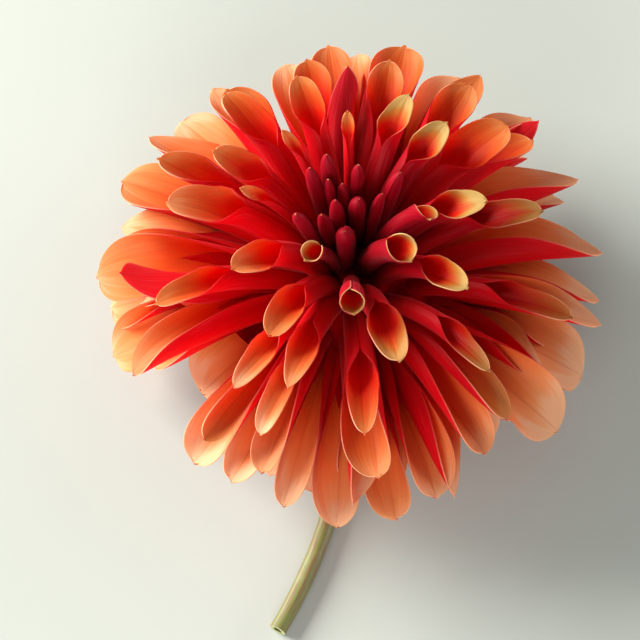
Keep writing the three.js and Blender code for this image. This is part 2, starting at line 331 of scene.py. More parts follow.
@dataclass
class Floret:
    """One ray floret, placed on the receptacle by azimuth and lean.

    Its twist turns the open side, in degrees. Reach and width are shares of what its growth
    gives. Hood bends the tip in and wave ripples the margins, in millimetres. Fold turns one
    half further in than the other, and flat moves the curl out to the margins. Tone, ripe and
    painted glow change its colours only: its own tint, how much older it looks, and how orange
    its throat is as painted light through it. A tone near 0 greys the open side as painted
    shade, and on some florets a high tone or ripe paints the light that falls on them.
    """

    azimuth: float
    lean: float
    twist: float = 0.0
    reach: float = 1.0
    width: float = 1.0
    tip: Tip = Tip.BLUNT
    hood: float = 0.0
    fold: float = 0.0
    flat: float = 0.0
    wave: float = 0.0
    tone: float = 0.5
    ripe: float = 0.0
    habit: Habit = Habit(-0.02, 0.2, 54.0, 0.85)
    # A lift of the throat's colour: painted light shining through it.
    dawn: float = 0.0

    swelling = (0.78, 1.05)
    fullest = 0.6
    least_wrap = 0.3
    least_width = 0.045
    waves = 9.0
    wave_offset = 5.0
    wave_slant = 2.0
    hood_from = 0.78
    hood_rise = 1.5
    nib_from = 0.985
    lip = 0.02

    @property
    def mouth(self) -> float:
        """Returns the place along the floret where its mouth starts."""
        return Growth(self.lean).opening + self.habit.shift

    def opened(self, along: np.ndarray) -> np.ndarray:
        """Returns how far the tube has opened at each place, 0 where it is shut."""
        return smooth(along, self.mouth, self.mouth + self.habit.run)

    def half(self, along: np.ndarray) -> np.ndarray:
        """Returns half the flat width at each place, before the tip rounds off."""
        swollen = lerp(*self.swelling, smooth(along, 0.0, self.fullest))
        half = Growth(self.lean).half_width * self.width * swollen
        return half * lerp(self.habit.girth, self.habit.share, self.opened(along))

    def axes(self, along: np.ndarray) -> tuple[np.ndarray, np.ndarray, np.ndarray, np.ndarray]:
        """Sets up the floret's own axes along its midrib.

        Args:
            along: places from 0 at the root to 1 at the tip.

        Returns:
            The midrib's points and, at each, the ways along, across and to the open side.
        """
        points, tangents = Growth(self.lean).midrib(along, self.reach, self.habit.bend)
        turn = math.radians(self.azimuth)
        outwards = np.array((math.sin(turn), math.cos(turn), 0.0))
        up = np.array((0.0, 0.0, 1.0))

        def raised(x: np.ndarray, y: np.ndarray) -> np.ndarray:
            """Returns plane coordinates as vectors in the bloom's axes."""
            return x[:, None] * outwards + y[:, None] * up

        heading = raised(tangents[:, 0], tangents[:, 1])
        inner = raised(-tangents[:, 1], tangents[:, 0])
        roll = -np.radians(self.twist) * along[:, None]
        inner = inner * np.cos(roll) + np.cross(heading, inner) * np.sin(roll)
        return raised(points[:, 0], points[:, 1]), heading, np.cross(heading, inner), inner

    def surface(self, along: np.ndarray, across: np.ndarray) -> np.ndarray:
        """Rolls and spreads the blade.

        Args:
            along: places from 0 at the root to 1 at the tip.
            across: places from -1 at one margin to 1 at the other.

        Returns:
            The outside's points in the bloom's axes, by place along and across.
        """
        points, heading, side, inner = self.axes(along)
        full = self.tip.fullness(along)
        opened = self.opened(along)
        wrap = lerp(TUBE_WRAP, self.habit.curl, opened)
        wrap = np.radians(wrap) * np.maximum(full, self.least_wrap)
        half = self.half(along) * np.maximum(full, self.least_width)
        spread = np.abs(across)[None, :]
        hand = np.sign(across)[None, :]
        power = 1.0 + self.flat * opened[:, None]
        angle = wrap[:, None] * hand * spread**power
        angle = angle * (1.0 + self.fold * opened[:, None] * hand)
        middle = len(across) // 2

        def summed(values: np.ndarray) -> np.ndarray:
            """Returns the running sum across the blade, zero at the midrib."""
            between = 0.5 * (values[:, 1:] + values[:, :-1]) * np.diff(across)[None, :]
            total = np.concatenate((np.zeros((len(values), 1)), np.cumsum(between, axis=1)), axis=1)
            return (total - total[:, middle : middle + 1]) * half[:, None]

        creases = swell(across, CREASE) + swell(across, FLUTES)
        groove = -creases[None, :] * opened[:, None] * full[:, None]
        ripple = self.waves * along[:, None] + self.wave_offset * self.tone
        ripple = self.wave * spread**3 * np.sin(ripple + self.wave_slant * across)
        hood = self.hood * smooth(along, self.hood_from, 1.0)[:, None] ** self.hood_rise
        inwards = summed(np.sin(angle)) + ripple * opened[:, None] + hood + groove
        nib = smooth(along, self.nib_from, 1.0)[:, None] * swell(across, NIB)[None, :]
        return (
            points[:, None, :]
            + side[:, None, :] * summed(np.cos(angle))[:, :, None]
            + inner[:, None, :] * inwards[:, :, None]
            + heading[:, None, :] * nib[:, :, None]
        )

    def margin(self, along: np.ndarray, across: np.ndarray) -> np.ndarray:
        """Returns how far each place is from the blade's nearest margin, in millimetres."""
        half = self.half(along) * self.tip.fullness(along)
        return half[:, None] * (1.0 - np.abs(across))[None, :]

    def share_open(self, along: np.ndarray) -> np.ndarray:
        """Returns how far each place is past the mouth: its painted glow there, 1 at the tip."""
        lip = self.mouth + self.lip
        # The painted glow moves the throat up the colour ramp: painted light.
        return lerp(self.dawn, 1.0, np.clip((along - lip) / (1.0 - lip), 0.0, 1.0))


@dataclass
class Bud(Floret):
    """A young floret of the heart, still rolled shut, one margin tucked under the other."""

    girth: float = 1.95

    closing = (0.74, 0.90)
    neck = 0.62
    shoulder = 0.75
    bluntness = 2.3
    tuck = 0.09
    least_radius = 0.25
    pale_tips = (0.2, 0.42)
    pale_from = 0.96

    def surface(self, along: np.ndarray, across: np.ndarray) -> np.ndarray:
        """Rolls the blade shut round its midrib.

        Args:
            along: places from 0 at the root to 1 at the tip.
            across: places from -1 at one margin to 1 at the other.

        Returns:
            The outside's points in the bloom's axes, by place along and across.
        """
        points, _, side, inner = self.axes(along)
        start = lerp(*self.closing, self.tone)
        closing = np.clip((along - start) / (1.0 - start), 0.0, 1.0)
        radius = self.girth * lerp(self.neck, 1.0, smooth(along, 0.0, self.shoulder))
        radius = radius * np.maximum(1.0 - closing**self.bluntness, 0.0) ** 0.5
        radius = np.maximum(radius, self.least_radius)
        angle = math.pi * (1.0 + self.tuck) * across[None, :]
        rolled = radius[:, None] * (1.0 - self.tuck * across[None, :])
        return (
            points[:, None, :]
            + side[:, None, :] * (rolled * np.sin(angle))[:, :, None]
            - inner[:, None, :] * (rolled * np.cos(angle))[:, :, None]
        )

    def share_open(self, along: np.ndarray) -> np.ndarray:
        """Returns how far each place is into the pale tip."""
        past = np.clip((along - self.pale_from) / (1.0 - self.pale_from), 0.0, 1.0)
        return lerp(*self.pale_tips, self.tone) * past


class Rank(Enum):
    """The bloom's ranks of florets, from the heart outwards: azimuth, lean, twist and reach."""

    HEART = (
        (32, 5), (-70, 6), (-164, 9), (-18, 10), (-40, 12), (10, 13),
        (64, 12), (-104, 11), (-27, 17), (-50, 17), (58, 18), (-109, 18),
    )  # fmt: skip
    QUILLS = ((109, 24, -20), (-148, 25), (142, 27), (-2, 28), (-42, 29), (-85, 31), (179, 36))
    INNER = (
        (48, 36), (91, 37), (26, 37), (-124, 39), (131, 41), (-67, 41), (-20, 43),
        (-151, 45), (165, 48), (-87, 50), (58, 51), (-43, 51), (89, 52),
    )  # fmt: skip
    MIDDLE = (
        (-162, 55), (141, 59), (-115, 59), (-148, 60), (177, 64),
        (-100, 67), (-158, 68), (112, 68), (14, 68),
    )  # fmt: skip
    OUTER = (
        (34, 70), (-146, 73), (142, 73), (52, 73), (-5, 75), (174, 76), (149, 79), (-121, 78),
        (-55, 79), (-160, 79), (47, 80), (-34, 81), (28, 82), (2, 82), (-66, 83), (66, 83),
        (-15, 84),
    )  # fmt: skip
    RIM = (
        (85, 85), (-90, 86), (180, 87), (9, 84), (-43, 88), (-153, 87), (-143, 88), (161, 88),
        (-165, 90), (100, 91), (157, 91), (170, 95), (-177, 98), (-62, 97), (-51, 98), (-69, 99),
        (75, 99), (45, 100), (60, 101), (124, 101), (-87, 107), (106, 106), (90, 98), (-100, 107),
        (-80, 94, 0, 0.97), (-117, 106, 0, 0.78), (137, 106, 0, 0.84),
    )  # fmt: skip
    BACK = ()
    FAR = (
        (-1, 44), (-70, 57), (-13, 58, 0, 0.95), (12, 57, 0, 0.95), (37, 58, 0, 0.97),
        (-38, 60, 0, 0.95), (60, 62, 0, 0.96),
    )  # fmt: skip


HABITS: dict[Rank, Habit] = {
    Rank.QUILLS: Habit(0.0, 0.18, 162.0, 1.15, 16.0, 0.78),
    Rank.INNER: Habit(0.0, 0.15, 60.0, 0.60, 26.0, 1.08),
    Rank.MIDDLE: Habit(0.02, 0.20, 60.0, 0.54, 20.0, 1.12),
    Rank.OUTER: Habit(-0.26, 0.80, 68.0, 0.80, 6.0, 1.25),
    Rank.RIM: Habit(-0.28, 0.80, 64.0, 0.84, 2.0, 1.25),
    Rank.BACK: Habit(-0.22, 0.72, 60.0, 0.86, 0.0, 1.2),
    Rank.FAR: Habit(-0.04, 0.40, 62.0, 0.74, 12.0, 1.15),
}
CHANNEL = Habit(-0.3, 0.75, 92.0, 0.84, 4.0, 1.25)
SPREAD = Habit(-0.26, 0.8, 46.0, 0.84, 4.0, 1.25)
STRAP = Habit(-0.3, 0.8, 80.0, 0.84, 4.0, 1.25)
SHUT = Habit(-0.1, 0.4, 50.0, 0.6)
CRIMSON = Habit(-0.25, 0.5, 62.0, 1.12)
SPIKE = Habit(0.06, 0.11, 80.0, 0.8, 20.0)


def laid(twist: float, width: float, **more: object) -> Look:
    """Returns the look of a floret that lies wide open and unfolded."""
    return dict(tip=Tip.BLUNT, fold=0.0, habit=SPREAD, twist=twist, width=width, **more)


def trough(twist: float, **more: object) -> Look:
    """Returns the look of a pointed floret that is rolled into a trough, a crimson flank in sight."""
    return dict(tip=Tip.POINTED, habit=CHANNEL, twist=twist, **more)


def strap(**more: object) -> Look:
    """Returns the look of a long floret with nearly even margins."""
    return dict(tip=Tip.BLUNT, habit=STRAP) | more


def lit(ripe: float, tone: float, **more: object) -> Look:
    """Returns the look of a floret that the light makes orange down to its throat."""
    return dict(dawn=0.3, ripe=ripe, tone=tone) | more


SPIKED: Look = dict(tip=Tip.ROUND, width=0.48, ripe=0.32, tone=1.0, habit=SPIKE)

# What the photograph shows of single florets, by azimuth and lean, where the rank's habit differs.
# Some of these colours paint light and shade: a tone near 0 paints shade, and a high tone or
# ripe, lit and the painted glow paint the light on a floret or through it.
NOTES: dict[tuple[int, int], Look] = {
    (32, 5): dict(girth=2.05, tone=0.9, reach=0.96),
    (-164, 9): dict(girth=2.3, tone=0.95, reach=0.9),
    (-18, 10): dict(girth=1.6, tone=0.3, reach=0.94),
    (-104, 11): dict(girth=1.75, tone=0.2, reach=0.92),
    (-40, 12): dict(girth=1.3, tone=0.8, reach=0.97),
    (64, 12): dict(girth=1.5, tone=0.2, reach=0.93),
    (10, 13): dict(girth=1.5, tone=0.9),
    (-109, 18): dict(girth=1.5, tone=1.0),
    (109, 24): dict(tip=Tip.BLUNT, twist=75.0, habit=Habit(0.0, 0.2, 160.0, 1.05, 10.0)),
    (-148, 25): dict(width=0.78, tone=1.0),
    (142, 27): dict(habit=Habit(0.0, 0.18, 150.0, 1.15, 14.0, 1.1)),
    (-2, 28): SPIKED,
    (-42, 29): SPIKED,
    (-85, 31): SPIKED,
    (179, 36): dict(tip=Tip.CUP, tone=0.9, habit=Habit(0.0, 0.16, 184.0, 1.2, 16.0, 0.8)),
    (48, 36): dict(tone=0.7),
    (26, 37): dict(ripe=0.06, tone=0.85),
    (-124, 39): lit(0.32, 1.0),
    (-67, 41): dict(ripe=0.2, tone=0.8),
    (-1, 44): dict(tip=Tip.POINTED, twist=180.0, habit=SHUT),
    (-151, 45): lit(0.32, 1.0),
    (-87, 50): lit(0.3, 0.85, dawn=0.25, width=1.2),
    (58, 51): dict(tip=Tip.BLUNT, width=1.35, ripe=0.2),
    # Tone 0 greys this spoon: painted shade.
    (89, 52): dict(width=0.85, ripe=-0.05, tone=0.0),
    (-162, 55): lit(0.25, 0.9),
    # Tone near 0 greys this spoon: painted shade.
    (141, 59): dict(width=0.78, ripe=-0.1, tone=0.02),
    # The painted glow paints light through this floret's throat.
    (-115, 59): dict(tone=0.7, dawn=0.25),
    (-148, 60): lit(0.25, 0.9),
    (-100, 67): dict(
        tip=Tip.POINTED, twist=176.0, width=1.15, hood=0.0, fold=0.0, habit=CRIMSON
    ),
    (-158, 68): lit(0.2, 0.8),
    # Tone 0 greys this spoon: painted shade.
    (112, 68): dict(tip=Tip.BLUNT, twist=0.0, width=0.8, ripe=-0.15, tone=0.0),
    (14, 68): laid(4.0, 1.1),
    (-146, 73): strap(twist=30.0, reach=1.06, width=0.74, tone=0.9),
    (142, 73): dict(width=0.78, ripe=-0.24),
    (52, 73): dict(tip=Tip.POINTED, twist=180.0, width=1.1, habit=SHUT),
    (-121, 78): strap(fold=-0.2, width=1.1),
    (28, 82): laid(8.0, 1.1),
    (-66, 83): laid(6.0, 0.98),
    (66, 83): trough(28.0, fold=0.3, width=1.25, tone=1.0),
    (85, 85): trough(28.0, fold=0.3, width=1.25, tone=1.0),
    (-90, 86): laid(12.0, 1.25),
    (180, 87): trough(75.0, reach=0.98, width=1.3, tone=0.9),
    (-43, 88): laid(6.0, 0.9),
    (-143, 88): strap(fold=0.2, width=1.1),
    (161, 88): dict(tone=0.6),
    (-165, 90): strap(tip=Tip.ROUND, fold=0.2, width=0.78),
    (100, 91): trough(20.0, fold=0.1, tone=1.0),
    (157, 91): trough(55.0, width=1.1, tone=0.8),
    (-177, 98): dict(tone=0.9),
    (90, 98): trough(16.0, fold=0.25, tone=1.0),
    # The florets below, to (137, 106), are painted paler by a high tone and a painted glow: painted
    # light.
    (124, 101): laid(-4.0, 1.2, tone=1.0, dawn=0.08),
    (-117, 106): dict(
        azimuth=-123.0, tip=Tip.BLUNT, twist=10.0, reach=0.72, width=1.2, tone=1.0, habit=SPREAD
    ),
    (106, 106): laid(-4.0, 1.2, tone=1.0, dawn=0.15),
    (137, 106): dict(tone=1.0, dawn=0.3),
    (-87, 107): laid(12.0, 1.2),
    (-100, 107): laid(12.0, 1.1),
}


@dataclass
class Planting:
    """Sets out the florets of the whole bloom, in the order in which the CAD source does.

    The first row of numbers is the CAD source's own, and the second varies what it leaves even.
    Twist and reach are unsaid where a place in its rank doesn't give them.
    """

    draw: Draw = field(default_factory=lambda: Draw(DRAW_SEED))
    variety: Draw = field(default_factory=lambda: Draw(VARIETY_SEED))
    unsaid: Span = (0.0, 1.0)
    widths: Span = (0.94, 1.06)
    twists: Span = (-10.0, 10.0)
    bud_reaches: Span = (0.97, 1.01)
    bud_girths: Span = (1.6, 2.15)
    hoods: Span = (-0.4, 0.7)
    folds: Span = (-0.16, 0.16)
    flats: Span = (-0.3, 0.35)
    waves: Span = (0.05, 0.35)
    tip_shares: Span = (0.45, 0.85)
    rim_folds: Span = (-0.42, 0.42)
    rim_flats: Span = (-0.3, 0.25)
    rim_twists: Span = (-18.0, 18.0)
    rim_blunt_tone: float = 0.3
    back_count: int = 32
    back_leans: Span = (99.0, 109.0)
    back_reach: float = 0.84
    back_azimuth_drift: Span = (-3.0, 3.0)
    back_lean_drift: Span = (-2.0, 2.0)
    notches: Span = (-130.0, 138.0)
    notch_half: float = 9.0
    feet: Spans = ((-40.0, 117.0), (40.0, 117.0))
    foot_reach: float = 0.92
    far_turn: float = 26.0
    far_leans: Span = (40.0, 80.0)
    far_side: float = 45.0
    far_hood: float = 0.1
    # How much older the inner florets on the left, towards the key light, look: painted light.
    lit_side_ripeness: float = 0.16
    narrow: tuple[tuple[int, int], ...] = ((-160, 79), (-158, 68), (-148, 60), (-153, 87))
    narrow_width: float = 0.78
    pointed: tuple[tuple[int, int], ...] = (
        (34, 70), (52, 73), (-55, 79), (-34, 81), (-69, 99), (-162, 55),
    )  # fmt: skip

    def ranks(self) -> dict[Rank, list[Floret]]:
        """Returns each rank's florets."""
        planted: dict[Rank, list[Floret]] = {
            Rank.HEART: [self.bud(azimuth, lean) for azimuth, lean in Rank.HEART.value]
        }
        for rank in (Rank.QUILLS, Rank.INNER, Rank.MIDDLE, Rank.OUTER, Rank.RIM):
            planted[rank] = [self.open_floret(rank, place) for place in rank.value]
        planted[Rank.BACK] = self.back_florets()
        planted[Rank.FAR] = [self.open_floret(Rank.FAR, place) for place in Rank.FAR.value]
        return planted

    def bud(self, azimuth: int, lean: int) -> Bud:
        """Returns one shut floret of the heart."""
        reach, girth = self.draw(*self.bud_reaches), self.variety(*self.bud_girths)
        made = self.varied(Bud(azimuth, lean, reach=reach, girth=girth))
        return replace(made, **NOTES.get((azimuth, lean), {}))

    def open_floret(self, rank: Rank, place: tuple) -> Floret:
        """Grows one floret that has opened.

        Args:
            rank: its rank.
            place: its azimuth and lean, and maybe its twist and reach.

        Returns:
            The floret, with what the photograph shows of it.
        """
        azimuth, lean, twist, reach = (*place, *self.unsaid[len(place) - 2 :])
        width = self.draw(*self.widths)
        made = Floret(azimuth, lean, twist + self.draw(*self.twists), reach, width)
        made = replace(self.varied(made), habit=HABITS[rank])
        if rank is Rank.QUILLS:
            made = replace(made, tip=Tip.TRUMPET, hood=0.0, fold=0.0, flat=0.0)
        if rank is Rank.INNER:
            # Inner florets on the left, the lit side, are painted older and more orange: painted
            # light.
            made = replace(made, tip=Tip.BLUNT, ripe=self.lit_side_ripeness if azimuth < 0 else 0.0)
        if rank in (Rank.OUTER, Rank.RIM):
            fold, flat = self.variety(*self.rim_folds), self.variety(*self.rim_flats)
            twist = made.twist + self.variety(*self.rim_twists)
            tip = made.tip if made.tone < self.rim_blunt_tone else Tip.BLUNT
            made = replace(made, fold=fold, flat=flat, twist=twist, tip=tip)
            if abs(azimuth) < self.far_side:
                made = replace(made, tip=Tip.ROUND, hood=min(made.hood, self.far_hood))
        if (azimuth, lean) in self.pointed:
            made = replace(made, tip=Tip.POINTED)
        if (azimuth, lean) in self.narrow:
            made = replace(made, width=made.width * self.narrow_width)
        return replace(made, **NOTES.get((azimuth, lean), {}))

    def back_florets(self) -> list[Floret]:
        """Returns the two alternating rows behind the rim, and the two the bloom rests on."""
        made = []
        for i in range(self.back_count):
            azimuth = -180.0 + 360.0 * i / self.back_count + self.draw(*self.back_azimuth_drift)
            lean = self.back_leans[i % 2] + self.draw(*self.back_lean_drift)
            width, twist = self.draw(*self.widths), self.draw(*self.twists)
            if all(abs(azimuth - notch) > self.notch_half for notch in self.notches):
                made.append(self.varied(Floret(azimuth, lean, twist, self.back_reach, width)))
        for azimuth, lean in self.feet:
            made.append(self.varied(Floret(azimuth, lean, reach=self.foot_reach)))
        return [replace(floret, habit=HABITS[Rank.BACK]) for floret in made]

    def varied(self, made: Floret) -> Floret:
        """Gives a floret the small differences that no two share.

        Args:
            made: the floret.

        Returns:
            A copy with its own tip, twist, folds and tone.
        """
        draw = self.variety
        pick = draw(0.0, 1.0)
        passed = sum(pick >= share for share in self.tip_shares)
        turned = self.far_turn * math.sin(math.radians(made.azimuth))
        turned = turned * float(smooth(made.lean, *self.far_leans))
        return replace(
            made,
            tip=(Tip.ROUND, Tip.BLUNT, Tip.POINTED)[passed],
            twist=made.twist + turned,
            hood=draw(*self.hoods),
            fold=draw(*self.folds),
            flat=draw(*self.flats),
            wave=draw(*self.waves),
            tone=draw(0.0, 1.0),
        )


class Bench:
    """Adds nodes to one node tree and wires them."""

    # A Mix node's colour sockets, which share their names with those of its other kinds.
    MIX_FIRST = 6
    MIX_SECOND = 7
    MIX_RESULT = 2

    def __init__(self, tree: bpy.types.NodeTree) -> None:
        """Takes the tree that it works on."""
        self.tree = tree

    def feed(self, node: Node, inputs: Inputs) -> None:
        """Links or sets a node's inputs.

        Args:
            node: the node.
            inputs: for each input a socket to link, a plain value to set, or None.
        """
        for name, value in inputs.items():
            if isinstance(value, Socket):
                self.tree.links.new(value, node.inputs[name])
            elif value is not None:
                node.inputs[name].default_value = value

    def node(self, kind: str, inputs: Inputs | None = None, **settings: object) -> Node:
        """Adds a node.

        Args:
            kind: its type.
            inputs: what it is fed.
            **settings: its properties.

        Returns:
            The node.
        """
        made = self.tree.nodes.new(kind)
        for name, value in settings.items():
            setattr(made, name, value)
        self.feed(made, inputs or {})
        return made

    def math(self, operation: str, first: object, second: object = None) -> Socket:
        """Returns what a Math node makes of one value or two."""
        return self.node("ShaderNodeMath", {0: first, 1: second}, operation=operation).outputs[0]

    def plus(self, first: object, second: object) -> Socket:
        """Returns the sum of two values."""
        return self.math("ADD", first, second)

    def less(self, first: object, second: object) -> Socket:
        """Returns the first value less the second."""
        return self.math("SUBTRACT", first, second)

    def times(self, first: object, second: object) -> Socket:
        """Returns the product of two values."""
        return self.math("MULTIPLY", first, second)

    def swing(self, value: object, size: float) -> Socket:
        """Returns a value between 0 and 1 as a swing of this size round zero."""
        return self.times(self.less(value, 0.5), size)

    def off_midrib(self, across: object) -> Socket:
        """Returns the distance from the midrib, of a blade that is 1 wide."""
        return self.math("ABSOLUTE", self.less(across, 0.5))

    def eased(self, value: object, low: float, high: float) -> Socket:
        """Returns 0 where a value is below low and 1 where it is above high, eased between."""
        inputs = {"Value": value, "From Min": low, "From Max": high}
        return self.node("ShaderNodeMapRange", inputs, interpolation_type="SMOOTHSTEP").outputs[0]

    def mix(self, factor: object, first: object, second: object, mode: str = "MIX") -> Socket:
        """Returns the second colour laid over the first by this factor."""
        inputs = {"Factor": factor, self.MIX_FIRST: first, self.MIX_SECOND: second}
        made = self.node("ShaderNodeMix", inputs, data_type="RGBA", blend_type=mode)
        return made.outputs[self.MIX_RESULT]

    def ramp(self, factor: object, stops: Stops) -> Socket:
        """Adds a colour ramp.

        Args:
            factor: the place on it.
            stops: its places and their colours.

        Returns:
            The colour there.
        """
        made = self.node("ShaderNodeValToRGB", {0: factor})
        elements = made.color_ramp.elements
        while len(elements) < len(stops):
            elements.new(0.5)
        for element, (place, shade) in zip(elements, stops):
            element.position = place
            element.color = shade
        return made.outputs[0]

    def layer(self, name: str) -> Sequence[Socket]:
        """Returns the two values of one of the piece's UV maps."""
        uv = self.node("ShaderNodeUVMap", uv_map=name).outputs[0]
        return self.node("ShaderNodeSeparateXYZ", {0: uv}).outputs[:2]

    def vector(self, *parts: object) -> Socket:
        """Returns three values as one vector."""
        return self.node("ShaderNodeCombineXYZ", dict(enumerate(parts))).outputs[0]

    def place(self) -> Socket:
        """Returns the place on the object."""
        return self.node("ShaderNodeTexCoord").outputs["Object"]

    def noise(self, vector: object, scale: float, detail: float = 2.0) -> Socket:
        """Returns a noise texture's value, read at a vector."""
        inputs = {"Vector": vector, "Scale": scale, "Detail": detail}
        return self.node("ShaderNodeTexNoise", inputs).outputs[0]

    def bump(self, height: object, strength: float, relief: float) -> Socket:
        """Returns the normal bumped by a height, which is a share of the relief in millimetres."""
        inputs = {"Height": height, "Strength": strength, "Distance": relief * MM}
        return self.node("ShaderNodeBump", inputs).outputs[0]

    def glow(self, skin: Node, through: Node, share: float) -> None:
        """Makes a skin, and a share of the light that comes through it, the surface."""
        inputs = {0: share, 1: skin.outputs[0], 2: through.outputs[0]}
        both = self.node("ShaderNodeMixShader", inputs)
        self.feed(self.tree.nodes["Material Output"], {"Surface": both.outputs[0]})


def new_material(name: str) -> tuple[bpy.types.Material, Bench, Node]:
    """Starts a material.

    Args:
        name: its name.

    Returns:
        The material, a bench for its nodes and its Principled node.
    """
    made = bpy.data.materials.new(name)
    made.use_nodes = True
    return made, Bench(made.node_tree), made.node_tree.nodes["Principled BSDF"]


@dataclass(frozen=True)
class Streaks:
    """A noise drawn out over a blade by these scales, and different on each blade by its tone."""

    across: float
    along: float
    tone: float
    scale: float
    detail: float

    def lay(self, bench: Bench, given: Node) -> Socket:
        """Adds the noise to a group.

        Args:
            bench: the group's bench.
            given: the group's input node, with Across, Along and Tone.

        Returns:
            The noise's value.
        """
        parts = {"Across": self.across, "Along": self.along, "Tone": self.tone}
        stretched = [bench.times(given.outputs[name], by) for name, by in parts.items()]
        return bench.noise(bench.vector(*stretched), self.scale, self.detail)


class FloretEffects:
    """The effects that more than one floret finish uses, as node groups built once."""

    veins = Streaks(26.0, 1.6, 40.0, 2.4, 3.0)
    mottle = Streaks(3.0, 2.2, 63.0, 1.6, 2.0)
    ribs = 75.0
    rib_wander = 5.0
    rib_height = 0.3
    _made: dict[str, bpy.types.NodeTree] = {}

    @classmethod
    def grain(cls) -> bpy.types.NodeTree:
        """Builds the fine lengthwise veins and the broader mottling.

        Returns:
            A tree with inputs Across, Along and Tone and outputs Veins, Mottle and Height.
        """
        if "grain" in cls._made:
            return cls._made["grain"]
        tree = bpy.data.node_groups.new("petal_grain", "ShaderNodeTree")
        for way, names in (("INPUT", "Across Along Tone"), ("OUTPUT", "Veins Mottle Height")):
            for name in names.split():
                tree.interface.new_socket(name, in_out=way, socket_type="NodeSocketFloat")
        bench = Bench(tree)
        given = bench.node("NodeGroupInput")
        fine = cls.veins.lay(bench, given)
        wavy = bench.times(given.outputs["Across"], cls.ribs)
        wavy = bench.plus(wavy, bench.times(fine, cls.rib_wander))
        rib = bench.times(bench.math("SINE", wavy), cls.rib_height)
        mottle = cls.mottle.lay(bench, given)
        height = bench.plus(rib, fine)
        bench.node("NodeGroupOutput", {"Veins": fine, "Mottle": mottle, "Height": height})
        cls._made["grain"] = tree
        return tree


@dataclass(frozen=True)
class Reading:
    """What a floret's finish reads on the blade, as sockets.

    Margin is the distance from it in centimetres, and mouth is the share past the tube's mouth.
    """

    across: Socket
    along: Socket
    margin: Socket
    mouth: Socket
    age: Socket
    tone: Socket
    veins: Socket
    mottle: Socket


@dataclass(frozen=True)
class Petal:
    """A floret's finish: satin, veined and slightly see-through, with a margin of its own."""

    name: str
    roughness: float = 0.5
    glow: float = 0.3
    bump: float = 0.18
    sheen: float = 0.25
    gloss: float = 0.22
    backlit: Colour = colour(1.0, 0.84, 0.5)
    rough_change: float = 0.22
    sheen_roughness: float = 0.42
    sheen_tint: Colour = colour(1.0, 0.72, 0.74)
    relief: float = 0.25
    edge: Colour = colour(0.92, 0.50, 0.24)
    edge_share: float = 0.5
    edge_width: Span = (0.002, 0.022)
    edge_run: Span = (0.35, 0.9)

    def material(self) -> bpy.types.Material:
        """Returns the finish as a material."""
        made, bench, skin = new_material(self.name)
        across, along = bench.layer("Blade")
        margin, mouth = bench.layer("Form")
        age, tone = bench.layer("Growth")
        inputs = {"Across": across, "Along": along, "Tone": tone}
        grain = bench.node("ShaderNodeGroup", inputs, node_tree=FloretEffects.grain())
        veins, mottle, height = (grain.outputs[name] for name in ("Veins", "Mottle", "Height"))
        base = self.paint(bench, Reading(across, along, margin, mouth, age, tone, veins, mottle))
        least_rough = self.roughness - self.rough_change / 2.0
        normal = bench.bump(height, self.bump, self.relief)
        bench.feed(skin, {
            "Base Color": base,
            "Roughness": bench.plus(bench.times(veins, self.rough_change), least_rough),
            "Specular IOR Level": self.gloss,
            "Sheen Weight": self.sheen,
            "Sheen Roughness": self.sheen_roughness,
            "Sheen Tint": self.sheen_tint,
            "Normal": normal,
        })
        backlit = bench.mix(1.0, base, self.backlit, "MULTIPLY")
        through = bench.node("ShaderNodeBsdfTranslucent", {"Color": backlit, "Normal": normal})
        bench.glow(skin, through, self.glow)
        return made

    def paint(self, bench: Bench, read: Reading) -> Socket:
        """Returns the colour over the blade. Each side of the floret paints its own."""
        raise NotImplementedError

    def trimmed(self, bench: Bench, read: Reading, base: Socket) -> Socket:
        """Lays the margin's colour along the open part of a blade.

        Args:
            bench: the material's bench.
            read: what the finish reads.
            base: the colour of the blade.

        Returns:
            The colour with its margin.
        """
        near = bench.less(1.0, bench.eased(read.margin, *self.edge_width))
        near = bench.times(near, bench.eased(read.mouth, *self.edge_run))
        return bench.mix(bench.times(near, self.edge_share), base, self.edge)


